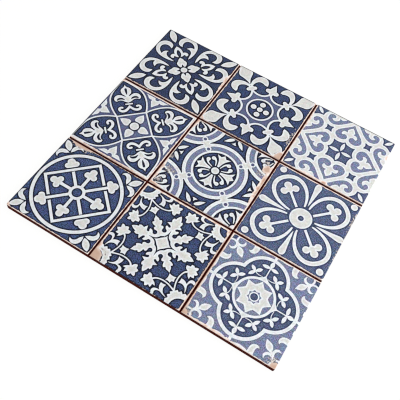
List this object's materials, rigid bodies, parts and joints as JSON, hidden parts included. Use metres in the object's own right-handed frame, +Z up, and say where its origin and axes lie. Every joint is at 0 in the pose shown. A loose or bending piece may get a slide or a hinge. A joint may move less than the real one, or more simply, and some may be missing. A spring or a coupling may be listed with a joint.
{
  "type": "ceramic tile",
  "caption": "Square glazed ceramic tile, its face scored by grooves into printed panels, with soft edges and a keyed back for bedding in adhesive.",
  "frame": {"origin": "centre of the back, in the plane of its ribs", "axes": "+Z up out of the glazed face; X and Y along the edges"},
  "size_m": [0.33, 0.33, 0.009],
  "materials": {
    "glazed_body": "satin glaze printed in blue and white over a red clay body"
  },
  "bodies": {
    "root": {"tile": "glazed_body"}
  },
  "joints": []
}
